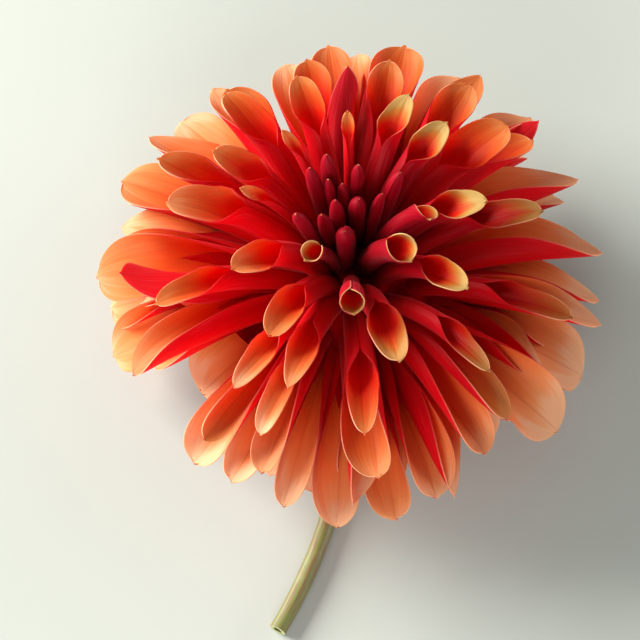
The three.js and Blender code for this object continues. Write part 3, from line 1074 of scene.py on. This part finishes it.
@dataclass(frozen=True)
class PetalInside(Petal):
    """The open side: red in the throat, then orange, and paler towards the tip and margins.

    Each age has its ramp from the mouth to the tip. The place on it moves with the veins, the
    mottling and the tone, and ahead near the margins. A darker crease along the midrib is painted
    shade, and so is the grey laid over florets whose tone is near 0.
    """

    young: Stops = (
        (0.0, colour(0.86, 0.003, 0.002)),
        (0.35, colour(0.82, 0.014, 0.003)),
        (0.58, colour(0.72, 0.11, 0.012)),
        (0.8, colour(0.60, 0.26, 0.04)),
        (1.0, colour(0.60, 0.43, 0.13)),
    )
    grown: Stops = (
        (0.0, colour(0.86, 0.003, 0.002)),
        (0.3, colour(0.84, 0.016, 0.003)),
        (0.6, colour(0.80, 0.09, 0.010)),
        (0.85, colour(0.76, 0.17, 0.028)),
        (1.0, colour(0.76, 0.27, 0.07)),
    )
    old: Stops = (
        (0.0, colour(0.80, 0.004, 0.002)),
        (0.22, colour(0.88, 0.06, 0.006)),
        (0.45, colour(0.92, 0.15, 0.022)),
        (0.70, colour(0.95, 0.30, 0.075)),
        (0.88, colour(0.97, 0.46, 0.165)),
        (1.0, colour(0.98, 0.69, 0.375)),
    )
    painted_shade: Stops = ((0.0, colour(0.58, 0.52, 0.5)), (0.07, colour(1.0, 1.0, 1.0)))
    growing: Span = (0.46, 0.64)
    ageing: Span = (0.80, 0.98)
    mottling: float = 0.34
    streaking: float = 0.26
    toning: float = 0.22
    ahead: float = 0.28
    ahead_fall: float = 0.9
    ahead_least: float = -0.08
    ahead_run: Span = (0.0, 0.25)
    ahead_young: float = 1.15
    ahead_ages: Span = (0.5, 0.8)
    # A darker line along the midrib's crease: painted shade.
    crease_shade: Colour = colour(0.55, 0.08, 0.01)
    crease_shade_width: float = 0.035
    crease_shade_share: float = 0.2

    def paint(self, bench: Bench, read: Reading) -> Socket:
        """Paints the open side.

        Args:
            bench: the material's bench.
            read: what the finish reads.

        Returns:
            The colour.
        """
        drift = bench.swing(read.mottle, self.mottling)
        streak = bench.swing(read.veins, self.streaking)
        place = bench.plus(read.mouth, bench.plus(drift, streak))
        ahead = bench.less(self.ahead, bench.times(read.margin, self.ahead_fall))
        ahead = bench.times(ahead, bench.eased(read.mouth, *self.ahead_run))
        unripe = bench.less(self.ahead_young, bench.eased(read.age, *self.ahead_ages))
        ahead = bench.times(ahead, unripe)
        place = bench.plus(place, bench.math("MAXIMUM", ahead, self.ahead_least))
        place = bench.plus(place, bench.swing(read.tone, self.toning))
        young, grown, old = (bench.ramp(place, stops) for stops in (self.young, self.grown, self.old))
        base = bench.mix(bench.eased(read.age, *self.growing), young, grown)
        base = bench.mix(bench.eased(read.age, *self.ageing), base, old)
        # The midrib's crease is darkened: painted shade.
        crease_shade = bench.eased(bench.off_midrib(read.across), 0.0, self.crease_shade_width)
        crease_shade = bench.times(bench.less(1.0, crease_shade), self.crease_shade_share)
        base = bench.mix(crease_shade, base, self.crease_shade, "MULTIPLY")
        # Florets whose tone is near 0 are greyed over: painted shade.
        base = bench.mix(1.0, base, bench.ramp(read.tone, self.painted_shade), "MULTIPLY")
        return self.trimmed(bench, read, base)


@dataclass(frozen=True)
class PetalOutside(Petal):
    """The rolled side: crimson, with painted shade at the root, painted sheen and a pale margin."""

    # Young florets of the heart are darker all along, near black at the root: painted shade.
    young: Stops = (
        (0.0, colour(0.05, 0.0, 0.001)),
        (0.4, colour(0.20, 0.0, 0.002)),
        (0.75, colour(0.36, 0.0, 0.009)),
        (1.0, colour(0.48, 0.001, 0.018)),
    )
    old: Stops = (
        (0.0, colour(0.30, 0.0, 0.001)),
        (0.35, colour(0.68, 0.0, 0.002)),
        (0.75, colour(0.76, 0.001, 0.009)),
        (1.0, colour(0.80, 0.016, 0.024)),
    )
    ageing: Span = (0.25, 0.75)
    mottling: float = 0.30
    # Pink streaks along the veins, away from the root and off the heart's buds: painted sheen.
    painted_sheen: Colour = colour(0.84, 0.10, 0.16)
    painted_sheen_share: float = 0.6
    painted_sheen_veins: Span = (0.55, 0.82)
    painted_sheen_run: Span = (0.3, 0.9)
    painted_sheen_ages: Span = (0.12, 0.3)
    edge: Colour = colour(0.93, 0.42, 0.32)
    edge_width: Span = (0.004, 0.04)
    edge_run: Span = (0.3, 0.9)

    def paint(self, bench: Bench, read: Reading) -> Socket:
        """Paints the rolled side.

        Args:
            bench: the material's bench.
            read: what the finish reads.

        Returns:
            The colour.
        """
        place = bench.plus(read.along, bench.swing(read.mottle, self.mottling))
        young, old = bench.ramp(place, self.young), bench.ramp(place, self.old)
        base = bench.mix(bench.eased(read.age, *self.ageing), young, old)
        # Pink streaks along the veins: painted sheen.
        streak = bench.eased(read.veins, *self.painted_sheen_veins)
        streak = bench.times(streak, bench.eased(read.along, *self.painted_sheen_run))
        streak = bench.times(streak, bench.eased(read.age, *self.painted_sheen_ages))
        base = bench.mix(bench.times(streak, self.painted_sheen_share), base, self.painted_sheen)
        return self.trimmed(bench, read, base)


@dataclass(frozen=True)
class PetalEdge(Petal):
    """The cut of the margin itself: red along the tube, and a pale line round the open blade."""

    throat: Colour = colour(0.58, 0.006, 0.008)
    young: Colour = colour(0.80, 0.56, 0.24)
    old: Colour = colour(0.97, 0.62, 0.36)
    ageing: Span = (0.42, 0.6)
    young_run: Span = (0.1, 0.6)
    old_run: Span = (0.5, 1.0)

    def paint(self, bench: Bench, read: Reading) -> Socket:
        """Paints the margin.

        Args:
            bench: the material's bench.
            read: what the finish reads.

        Returns:
            The colour.
        """
        aged = bench.eased(read.age, *self.ageing)
        rim = bench.mix(aged, self.young, self.old)
        young = bench.mix(bench.eased(read.mouth, *self.young_run), self.throat, rim)
        old = bench.mix(bench.eased(read.mouth, *self.old_run), self.throat, rim)
        return bench.mix(aged, young, old)


@dataclass(frozen=True)
class Plain:
    """A mottled finish of two close colours, with fine bumps."""

    name: str
    deep: Colour
    light: Colour
    scale: float = 260.0
    roughness: float = 0.6
    bump: float = 0.2
    gloss: float = 0.4
    share: Span = (0.3, 0.7)
    fineness: float = 4.0
    relief: float = 0.3

    def material(self) -> bpy.types.Material:
        """Returns the finish as a material."""
        made, bench, skin = new_material(self.name)
        where = bench.place()
        patch = bench.noise(where, self.scale, detail=4.0)
        fine = bench.noise(where, self.scale * self.fineness, detail=3.0)
        bench.feed(skin, {
            "Base Color": bench.ramp(patch, tuple(zip(self.share, (self.deep, self.light)))),
            "Roughness": self.roughness,
            "Specular IOR Level": self.gloss,
            "Normal": bench.bump(fine, self.bump, self.relief),
        })
        return made


@dataclass
class Grid:
    """Where a flat strip's vertices lie: each one's column and row, and the places of these."""

    across: np.ndarray
    along: np.ndarray
    column: np.ndarray
    row: np.ndarray

    @classmethod
    def of(cls, blank: bpy.types.Object) -> "Grid":
        """Reads a flat strip.

        Args:
            blank: the strip.

        Returns:
            Its places across, from 1 to -1, and along, from 0 to 1, and each vertex's own.
        """
        x, y, _ = points_of(blank.data).round(decimals=5).T
        sides, lengths = np.unique(x), np.unique(y)
        column, row = np.searchsorted(sides, x), np.searchsorted(lengths, y)
        return cls(-sides, (lengths + 1.0) / 2.0, column, row)


@dataclass(frozen=True)
class Strip:
    """The blank that a blade is made from: a flat strip of even faces."""

    rows: int = 40
    columns: int = 18

    def make(self, name: str) -> bpy.types.Object:
        """Makes a new strip, from -1 to 1 both ways.

        Args:
            name: its name.

        Returns:
            The strip, with empty maps for what a floret's finish reads.
        """
        bpy.ops.object.select_all(action="DESELECT")
        bpy.ops.mesh.primitive_grid_add(
            x_subdivisions=self.columns, y_subdivisions=self.rows, size=2.0, calc_uvs=True
        )
        made = bpy.context.active_object
        made.name = name
        made.data.uv_layers[0].name = "Blade"
        for layer in ("Form", "Growth"):
            made.data.uv_layers.new(name=layer)
        return made


def spread_tip(place: np.ndarray) -> np.ndarray:
    """Moves even places along a strip closer together towards the tip.

    Args:
        place: the even places.

    Returns:
        The moved ones.
    """
    straight, left = 0.6, 0.28
    ending = np.clip((place - straight) / (1.0 - straight), 0.0, 1.0)
    near = place * (1.0 - left) / straight
    return np.where(place < straight, near, 1.0 - left * (1.0 - ending) ** 2)


def write_uv(mesh: bpy.types.Mesh, name: str, u: np.ndarray, v: np.ndarray) -> None:
    """Writes one value of u and v per vertex into a UV map.

    Args:
        mesh: the mesh.
        name: the map's name.
        u: a value for each vertex.
        v: a second value for each vertex.
    """
    corners = np.zeros(len(mesh.loops), dtype=np.int64)
    mesh.loops.foreach_get("vertex_index", corners)
    pairs = np.stack((u[corners], v[corners]), axis=1).astype(np.float32)
    mesh.uv_layers[name].data.foreach_set("uv", pairs.ravel())


@dataclass
class Bloom:
    """The ray florets, a piece for each rank, and the receptacle that they grow from."""

    ranks: dict[Rank, list[Floret]]
    blade: float = 0.24
    press: float = 0.12
    smooth_angle: float = 50.0
    strip: Strip = Strip()
    rough: Strip = Strip(28, 14)
    dome_flutes: float = 13.0
    dome_flute_depth: float = 0.03
    dome: Spans = (
        (0.0, 16.5), (6.0, 15.6), (11.5, 13.0), (16.5, 9.2), (20.0, 5.4), (23.0, 2.6),
        (28.0, 0.8), (29.5, -0.8), (24.0, -2.6), (15.0, -4.2), (7.0, -5.0), (0.0, -5.0),
    )  # fmt: skip

    def build(self) -> None:
        """Builds each rank and the receptacle, and dresses them."""
        satin = dict(glow=0.5, gloss=0.18)
        finishes = [
            PetalOutside("floret_outside", 0.5, bump=0.22, sheen=0.05, **satin).material(),
            PetalInside("floret_inside", 0.52, bump=0.18, sheen=0.12, **satin).material(),
            PetalEdge("floret_edge", 0.5, glow=0.5, bump=0.05, sheen=0.0).material(),
        ]
        for rank, florets in self.ranks.items():
            strip = self.rough if rank in (Rank.HEART, Rank.BACK) else self.strip
            piece = self.roll_all(f"{rank.name.lower()}_florets", florets, strip)
            for finish in finishes:
                piece.data.materials.append(finish)
            self.thicken(piece)
            hand_in(piece, "bloom")
        self.receptacle()

    def roll_all(self, name: str, florets: Iterable[Floret], strip: Strip) -> bpy.types.Object:
        """Rolls a rank of florets from copies of one strip, and joins them.

        Args:
            name: the piece's name.
            florets: the rank's florets.
            strip: the blank.

        Returns:
            The joined piece, still a single skin.
        """
        blank = strip.make(f"{name}_strip")
        grid = Grid.of(blank)
        grid.along = spread_tip(grid.along)
        copies = [self.rolled(copy_of(blank), grid, floret) for floret in florets]
        bpy.data.objects.remove(blank)
        return joined(copies, name)

    def rolled(self, piece: bpy.types.Object, grid: Grid, floret: Floret) -> bpy.types.Object:
        """Rolls one floret and writes what its finish reads.

        Args:
            piece: its flat strip.
            grid: where the strip's vertices lie.
            floret: how it has grown.

        Returns:
            The same piece, in its place.
        """
        mesh, row, column = piece.data, grid.row, grid.column
        points = floret.surface(grid.along, grid.across[::-1])[:, ::-1][row, column]
        mesh.vertices.foreach_set("co", points.ravel())
        mesh.transform(head_place())
        self.rest_on_floor(mesh)
        margin = floret.margin(grid.along, grid.across)[row, column] / MM_PER_CM
        age = np.full(len(row), Growth(floret.lean).age + floret.ripe)
        write_uv(mesh, "Blade", (1.0 + grid.across[column]) / 2.0, grid.along[row])
        write_uv(mesh, "Form", margin, floret.share_open(grid.along)[row])
        write_uv(mesh, "Growth", age, np.full(len(row), floret.tone))
        return piece

    def rest_on_floor(self, mesh: bpy.types.Mesh) -> None:
        """Presses the part of a floret that would be under the floor flat on it.

        Args:
            mesh: the floret, in its place.
        """
        points = points_of(mesh)
        heights = points[:, 2]
        low = self.blade * MM
        pressed = np.maximum(low + (heights - low) * self.press, 0.0)
        points[:, 2] = np.where(heights < low, pressed, heights)
        mesh.vertices.foreach_set("co", points.ravel())

    def thicken(self, piece: bpy.types.Object) -> None:
        """Gives the skin its thickness, inner face and margin, each with its own finish.

        Args:
            piece: a rank's skin, with its three finishes.
        """
        wall = piece.modifiers.new("blade", "SOLIDIFY")
        wall.thickness = self.blade * MM
        wall.offset = -1.0
        wall.use_rim = True
        wall.material_offset = 1
        wall.material_offset_rim = 2
        only(piece)
        bpy.ops.object.modifier_apply(modifier=wall.name)
        bpy.ops.object.shade_smooth_by_angle(angle=math.radians(self.smooth_angle))

    def receptacle(self) -> None:
        """Builds the dome that carries the florets, near black red: painted shade between them."""
        bpy.ops.object.select_all(action="DESELECT")
        bpy.ops.mesh.primitive_uv_sphere_add(segments=64, ring_count=40, radius=1.0)
        piece = bpy.context.active_object
        piece.name = "receptacle_dome"
        only(piece)
        x, y, z = points_of(piece.data).T
        down = np.arccos(np.clip(z, -1.0, 1.0)) / math.pi
        turn = np.arctan2(y, x)
        stations = np.linspace(0.0, 1.0, len(self.dome))
        radius, height = (np.interp(down, stations, sizes) for sizes in zip(*self.dome))
        flutes = np.sin(self.dome_flutes * turn) * np.sin(math.pi * down)
        radius = radius * (1.0 + self.dome_flute_depth * flutes)
        shaped = np.stack((radius * np.cos(turn), radius * np.sin(turn), height), axis=1)
        piece.data.vertices.foreach_set("co", shaped.ravel())
        piece.data.transform(head_place())
        bpy.ops.object.shade_smooth()
        # Near black red, the shade in the gaps between the florets: painted shade.
        deep, light = colour(0.10, 0.0, 0.001), colour(0.24, 0.0, 0.002)
        piece.data.materials.append(Plain("receptacle_painted_shade", deep, light, gloss=0.0).material())
        hand_in(piece, "bloom")


@dataclass
class Blade:
    """A bract's outline: its midrib by four control points, its width, wall and shape."""

    midrib: Spans
    width: float
    wall: float
    shape: Spans
    keel: float = 0.12
    wave: float = 0.2
    waves: float = 8.0

    def surface(self, turn: float, along: np.ndarray, across: np.ndarray) -> np.ndarray:
        """Bends the blade.

        Args:
            turn: its azimuth in degrees.
            along: places from the root to the tip.
            across: places from -1 to 1.

        Returns:
            The lower face's points in the bloom's axes, by place along and across.
        """
        points, tangents = curve([np.array(point) for point in self.midrib], along)
        angle = math.radians(turn)
        outwards = np.array((math.sin(angle), math.cos(angle), 0.0))
        up = np.array((0.0, 0.0, 1.0))
        place = points[:, :1] * outwards + points[:, 1:] * up
        heading = tangents[:, :1] * outwards + tangents[:, 1:] * up
        inner = -tangents[:, 1:] * outwards + tangents[:, :1] * up
        side = np.cross(heading, inner)
        half = np.interp(along, *zip(*self.shape)) * self.width / 2.0
        ripple = np.abs(across)[None, :] * np.sin(self.waves * along + turn)[:, None]
        lift = half[:, None] * self.keel * (across**2)[None, :] + self.wave * ripple
        return (
            place[:, None, :]
            + side[:, None, :] * (half[:, None] * across[None, :])[:, :, None]
            + inner[:, None, :] * lift[:, :, None]
        )


@dataclass(frozen=True)
class Leaf:
    """A bract's finish: lengthwise veins over two colours, and a dry or pale margin."""

    name: str
    root: Colour
    tip: Colour
    vein: Colour
    edge: Colour
    veins: float
    glow: float
    roughness: float = 0.55
    patches: float = 420.0
    patch_share: float = 0.3
    root_end: float = 0.15
    bends: float = 160.0
    bend_share: float = 3.0
    vein_sharpness: float = 3.0
    vein_share: float = 0.45
    edge_width: Span = (0.40, 0.5)
    edge_share: float = 0.7
    bump: float = 0.35
    relief: float = 0.2

    def material(self) -> bpy.types.Material:
        """Returns the finish as a material."""
        made, bench, skin = new_material(self.name)
        across, along = bench.layer("Blade")
        where = bench.place()
        patch = bench.noise(where, self.patches, detail=3.0)
        along = bench.plus(along, bench.times(patch, self.patch_share))
        base = bench.ramp(along, ((self.root_end, self.root), (1.0, self.tip)))
        bends = bench.times(bench.noise(where, self.bends), self.bend_share)
        lines = bench.math("SINE", bench.plus(bench.times(across, self.veins), bends))
        rib = bench.math("POWER", bench.math("ABSOLUTE", lines), self.vein_sharpness)
        base = bench.mix(bench.times(rib, self.vein_share), base, self.vein)
        edge = bench.eased(bench.off_midrib(across), *self.edge_width)
        base = bench.mix(bench.times(edge, self.edge_share), base, self.edge)
        normal = bench.bump(bench.plus(rib, patch), self.bump, self.relief)
        bench.feed(skin, {"Base Color": base, "Roughness": self.roughness, "Normal": normal})
        through = bench.node("ShaderNodeBsdfTranslucent", {"Color": base})
        bench.glow(skin, through, self.glow)
        return made


@dataclass
class Whorl:
    """A whorl of bracts on a low disc under the bloom."""

    name: str
    node: str
    slot: str
    top: float
    disc_radius: float
    disc_height: float
    count: int
    first: float
    blade: Blade
    finish: Leaf
    strip: Strip = Strip(22, 12)
    disc_rounding: float = 0.35
    smooth_angle: float = 40.0

    def build(self) -> None:
        """Builds the disc and its blades, joins them and dresses the piece."""
        blank = self.strip.make(f"{self.name}_strip")
        grid = Grid.of(blank)
        copies = [copy_of(blank) for _ in range(self.count)]
        for i, copy in enumerate(copies):
            turn = self.first + 360.0 * i / self.count
            points = self.blade.surface(turn, grid.along, grid.across)[grid.row, grid.column]
            copy.data.vertices.foreach_set("co", points.ravel())
        bpy.data.objects.remove(blank)
        piece = joined(copies, self.name)
        wall = piece.modifiers.new("wall", "SOLIDIFY")
        wall.thickness, wall.offset = self.blade.wall, -1.0
        bpy.ops.object.modifier_apply(modifier=wall.name)
        piece = joined((piece, self.disc()), self.name)
        piece.data.transform(head_place())
        bpy.ops.object.shade_smooth_by_angle(angle=math.radians(self.smooth_angle))
        piece.data.materials.clear()
        piece.data.materials.append(self.finish.material())
        hand_in(piece, self.node)

    def disc(self) -> bpy.types.Object:
        """Returns the disc that the blades leave, its edges rounded."""
        bpy.ops.object.select_all(action="DESELECT")
        bpy.ops.mesh.primitive_cylinder_add(
            vertices=48,
            radius=self.disc_radius,
            depth=self.disc_height,
            location=(0.0, 0.0, self.top - self.disc_height / 2.0),
        )
        made = bpy.context.active_object
        bpy.ops.object.transform_apply(location=True)
        made.data.uv_layers[0].name = "Blade"
        bpy.ops.object.mode_set(mode="EDIT")
        bpy.ops.mesh.select_all(action="SELECT")
        bpy.ops.mesh.bevel(offset=self.disc_height * self.disc_rounding, segments=3)
        bpy.ops.object.mode_set(mode="OBJECT")
        return made


@dataclass(frozen=True)
class StemSkin:
    """The stem's skin: olive green, flushed brown in long streaks, slightly waxy."""

    name: str
    green: Colour = colour(0.16, 0.19, 0.045)
    flush: Colour = colour(0.20, 0.10, 0.045)
    flush_share: Span = (0.38, 0.66)
    pale: Colour = colour(0.30, 0.33, 0.13)
    pale_share: Span = (0.5, 0.78)
    stretch: Span = (9.0, 5.0)
    streaks: float = 3.0
    patches: float = 70.0
    roughness: float = 0.46
    bump: float = 0.3
    relief: float = 0.3

    def material(self) -> bpy.types.Material:
        """Returns the finish as a material."""
        made, bench, skin = new_material(self.name)
        stretched = [bench.times(*pair) for pair in zip(bench.layer("Blade"), self.stretch)]
        streak = bench.noise(bench.vector(*stretched), self.streaks, detail=4.0)
        patch = bench.noise(bench.place(), self.patches, detail=3.0)
        base = bench.mix(bench.eased(streak, *self.flush_share), self.green, self.flush)
        base = bench.mix(bench.eased(patch, *self.pale_share), base, self.pale)
        normal = bench.bump(streak, self.bump, self.relief)
        bench.feed(skin, {"Base Color": base, "Roughness": self.roughness, "Normal": normal})
        return made


@dataclass
class Stem:
    """The cut stem: a swollen top, a bend, and a run along the surface to a hollow cut end.

    The run gives x and y of the bend's end, of the sway and of the cut end. The swelling gives
    the radius at a distance from the top, until the stem has its own.
    """

    radius: float = 2.05
    bore: float = 1.1
    height: float = 1.85
    run: Spans = ((-0.3, -13.0), (-2.3, -42.0), (-17.0, -68.04))
    pull: float = 13.0
    bend_share: float = 0.42
    swelling: Spans = ((0.0, 4.9), (1.4, 4.2), (4.0, 2.7), (6.0, 2.25))
    swelling_end: float = 10.0
    ribs: Span = (7.0, 0.018)
    rings: Span = (31.0, 0.012)
    seam: float = 0.01
    smooth_angle: float = 40.0
    strip: Strip = Strip(90, 32)

    def path(self, along: np.ndarray) -> np.ndarray:
        """Follows the stem's centre line.

        Args:
            along: places from 0 under the bloom to 1 at the cut end.

        Returns:
            The points, in millimetres.
        """
        tilt = math.radians(BLOOM_TILT)
        axis = np.array((0.0, math.sin(tilt), math.cos(tilt)))
        start = np.array(BLOOM_AT) + axis * (CORE_BOTTOM - 3 * GAP - SCALE_DISC - BRACT_DISC)
        bend, sway, end = (np.array((x, y, self.height)) for x, y in self.run)
        heading = (sway - bend) / np.linalg.norm(sway - bend)
        near, far = start - self.pull * axis, bend - self.pull * heading
        bent, _ = curve((start, near, far, bend), np.clip(along / self.bend_share, 0.0, 1.0))
        u = np.clip((along - self.bend_share) / (1.0 - self.bend_share), 0.0, 1.0)[:, None]
        laid_down = bend * (1 - u) ** 2 + 2 * sway * u * (1 - u) + end * u**2
        return np.where(along[:, None] < self.bend_share, bent, laid_down)

    def shell(self, along: np.ndarray, angle: np.ndarray) -> np.ndarray:
        """Wraps the skin round the centre line, flat where it lies on the surface.

        Args:
            along: places from 0 under the bloom to 1 at the cut end.
            angle: turns round the stem, in radians.

        Returns:
            The skin's points in the object's axes, by place along and turn.
        """
        points = self.path(along)
        ways = np.gradient(points, axis=0)
        steps = np.linalg.norm(ways, axis=1)
        gone = np.concatenate(((0.0,), np.cumsum(steps[1:])))
        radius = np.interp(gone, *zip(*self.swelling, (self.swelling_end, self.radius)))
        (ribs, rib_height), (rings, ring_height) = self.ribs, self.rings
        uneven = 1.0 + rib_height * np.sin(ribs * angle)[None, :]
        reach = radius[:, None] * (uneven + ring_height * np.sin(rings * along)[:, None])
        tangents = ways / steps[:, None]
        side = np.cross(tangents, np.array((1.0, 0.0, 0.0)))
        side = side / np.linalg.norm(side, axis=1)[:, None]
        over = np.cross(side, tangents)
        shell = (
            points[:, None, :]
            + side[:, None, :] * (reach * np.cos(angle)[None, :])[:, :, None]
            + over[:, None, :] * (reach * np.sin(angle)[None, :])[:, :, None]
        )
        shell[:, :, 2] = np.maximum(shell[:, :, 2], 0.0)
        return shell

    def build(self) -> None:
        """Rolls a strip into the tube, thickens it and dresses it."""
        piece = self.strip.make("cut_stem")
        grid = Grid.of(piece)
        shell = self.shell(grid.along, -np.pi * grid.across)
        piece.data.vertices.foreach_set("co", shell[grid.row, grid.column].ravel())
        only(piece)
        bpy.ops.object.mode_set(mode="EDIT")
        bpy.ops.mesh.select_all(action="SELECT")
        bpy.ops.mesh.remove_doubles(threshold=self.seam)
        bpy.ops.mesh.normals_make_consistent(inside=False)
        bpy.ops.object.mode_set(mode="OBJECT")
        wall = piece.modifiers.new("wall", "SOLIDIFY")
        wall.thickness, wall.offset = self.radius - self.bore, -1.0
        wall.material_offset_rim = 1
        piece.data.materials.append(StemSkin("stem_skin").material())
        deep, light = colour(0.30, 0.34, 0.12), colour(0.55, 0.56, 0.30)
        pith = Plain("cut_pith", deep, light, scale=900.0, roughness=0.45)
        piece.data.materials.append(pith.material())
        bpy.ops.object.modifier_apply(modifier=wall.name)
        piece.data.transform(Matrix.Diagonal((MM, MM, MM, 1.0)))
        bpy.ops.object.shade_smooth_by_angle(angle=math.radians(self.smooth_angle))
        hand_in(piece, "stem")


@dataclass(frozen=True)
class Lamp:
    """A soft square light that faces the bloom: place and side in metres, power in watts."""

    name: str
    place: tuple[float, float, float]
    size: float
    power: float
    tint: tuple[float, float, float]

    def hang(self) -> None:
        """Adds the light."""
        bpy.ops.object.select_all(action="DESELECT")
        bpy.ops.object.light_add(type="AREA", location=self.place)
        lamp = bpy.context.active_object
        lamp.name = f"{self.name}_light"
        lamp.data.size = self.size
        lamp.data.energy = self.power
        lamp.data.color = self.tint
        aim = BLOOM_AT * MM - Vector(self.place)
        lamp.rotation_euler = aim.to_track_quat("-Z", "Y").to_euler()


@dataclass
class Studio:
    """The pale floor, the soft lights and the camera at the photograph's viewing angle."""

    lamps: tuple[Lamp, ...] = (
        Lamp("key", (-1.02, 0.46, 0.56), 0.8, 46.0, (1.0, 0.98, 0.94)),
        Lamp("side", (0.85, 0.20, 0.16), 0.5, 5.0, (1.0, 0.98, 0.97)),
        Lamp("front", (-0.20, -0.75, 0.40), 0.5, 5.5, (1.0, 0.98, 0.96)),
    )
    sky: Colour = colour(0.86, 0.92, 0.90)
    sky_strength: float = 0.28
    floor_deep: Colour = colour(0.42, 0.45, 0.41)
    floor_light: Colour = colour(0.44, 0.47, 0.43)
    floor_size: float = 6.0
    floor_drop: float = 0.0002
    elevation: float = 67.0
    distance: float = 0.84
    view_width: float = 0.1515
    aim_left: float = 0.0071
    aim_down: float = 0.0083
    sensor: float = 36.0

    def build(self) -> None:
        """Builds the floor, lights, world and camera."""
        self.floor()
        for lamp in self.lamps:
            lamp.hang()
        world = bpy.data.worlds.new("studio")
        bpy.context.scene.world = world
        world.use_nodes = True
        world.node_tree.nodes["Background"].inputs["Color"].default_value = self.sky
        world.node_tree.nodes["Background"].inputs["Strength"].default_value = self.sky_strength
        self.camera()
        bpy.context.scene.view_settings.view_transform = "Standard"

    def floor(self) -> None:
        """Builds the pale floor."""
        bpy.ops.object.select_all(action="DESELECT")
        bpy.ops.mesh.primitive_plane_add(
            size=self.floor_size, location=(0.0, 0.0, -self.floor_drop)
        )
        floor = bpy.context.active_object
        floor.name = "floor"
        paper = Plain(
            "pale_floor", self.floor_deep, self.floor_light, scale=9.0, roughness=0.8, bump=0.02
        )
        floor.data.materials.append(paper.material())

    def camera(self) -> None:
        """Adds the camera at the photograph's angle and framing."""
        rise = math.radians(self.elevation)
        up = Vector((0.0, math.sin(rise), math.cos(rise)))
        back = Vector((0.0, -math.cos(rise), math.sin(rise)))
        target = BLOOM_AT * MM - Vector((self.aim_left, 0.0, 0.0)) - up * self.aim_down
        bpy.ops.object.camera_add(
            location=target + back * self.distance, rotation=(math.pi / 2 - rise, 0.0, 0.0)
        )
        camera = bpy.context.active_object
        camera.name = "camera"
        camera.data.sensor_width = self.sensor
        camera.data.lens = self.sensor * self.distance / self.view_width
        bpy.context.scene.camera = camera


def scales() -> Whorl:
    """Returns the inner whorl of thin, papery scales."""
    top = CORE_BOTTOM - GAP
    blade = Blade(
        midrib=((5.2, top - 1.15), (8.5, top - 1.5), (13.0, top - 2.6), (16.0, top - 5.4)),
        width=9.0,
        wall=0.45,
        shape=(
            (0.0, 0.72), (0.2, 0.88), (0.4, 1.0), (0.6, 0.97),
            (0.75, 0.86), (0.88, 0.64), (0.96, 0.38), (1.0, 0.08),
        ),
    )  # fmt: skip
    finish = Leaf(
        "papery_scale",
        root=colour(0.34, 0.33, 0.12),
        tip=colour(0.52, 0.40, 0.20),
        vein=colour(0.30, 0.20, 0.08),
        edge=colour(0.66, 0.55, 0.36),
        veins=70.0,
        glow=0.4,
    )
    return Whorl(
        "papery_scales",
        node="inner_bracts",
        slot="scales",
        top=top,
        disc_radius=7.0,
        disc_height=SCALE_DISC,
        count=8,
        first=10.0,
        blade=blade,
        finish=finish,
    )


def bracts() -> Whorl:
    """Returns the outer whorl of fleshy green bracts, bent down."""
    top = CORE_BOTTOM - 2 * GAP - SCALE_DISC
    blade = Blade(
        midrib=((4.4, top - 1.1), (7.6, top - 1.4), (11.0, top - 4.6), (12.32, top - 9.6)),
        width=6.5,
        wall=0.75,
        shape=(
            (0.0, 0.55), (0.35, 0.8), (0.6, 0.99), (0.75, 0.96), (0.9, 0.7), (0.97, 0.38), (1.0, 0.1),
        ),
        keel=0.2,
        wave=0.12,
    )  # fmt: skip
    finish = Leaf(
        "green_bract",
        root=colour(0.10, 0.17, 0.03),
        tip=colour(0.07, 0.15, 0.03),
        vein=colour(0.05, 0.09, 0.02),
        edge=colour(0.22, 0.10, 0.05),
        veins=40.0,
        glow=0.1,
        roughness=0.48,
    )
    return Whorl(
        "leafy_bracts",
        node="outer_bracts",
        slot="green_bracts",
        top=top,
        disc_radius=5.9,
        disc_height=BRACT_DISC,
        count=5,
        first=0.0,
        blade=blade,
        finish=finish,
    )


def main() -> None:
    """Builds the studio, the bloom, its bracts and the stem."""
    logging.basicConfig(level=logging.INFO, format="%(message)s")
    Studio().build()
    Bloom(Planting().ranks()).build()
    scales().build()
    bracts().build()
    Stem().build()


if __name__ == "__main__":
    main()
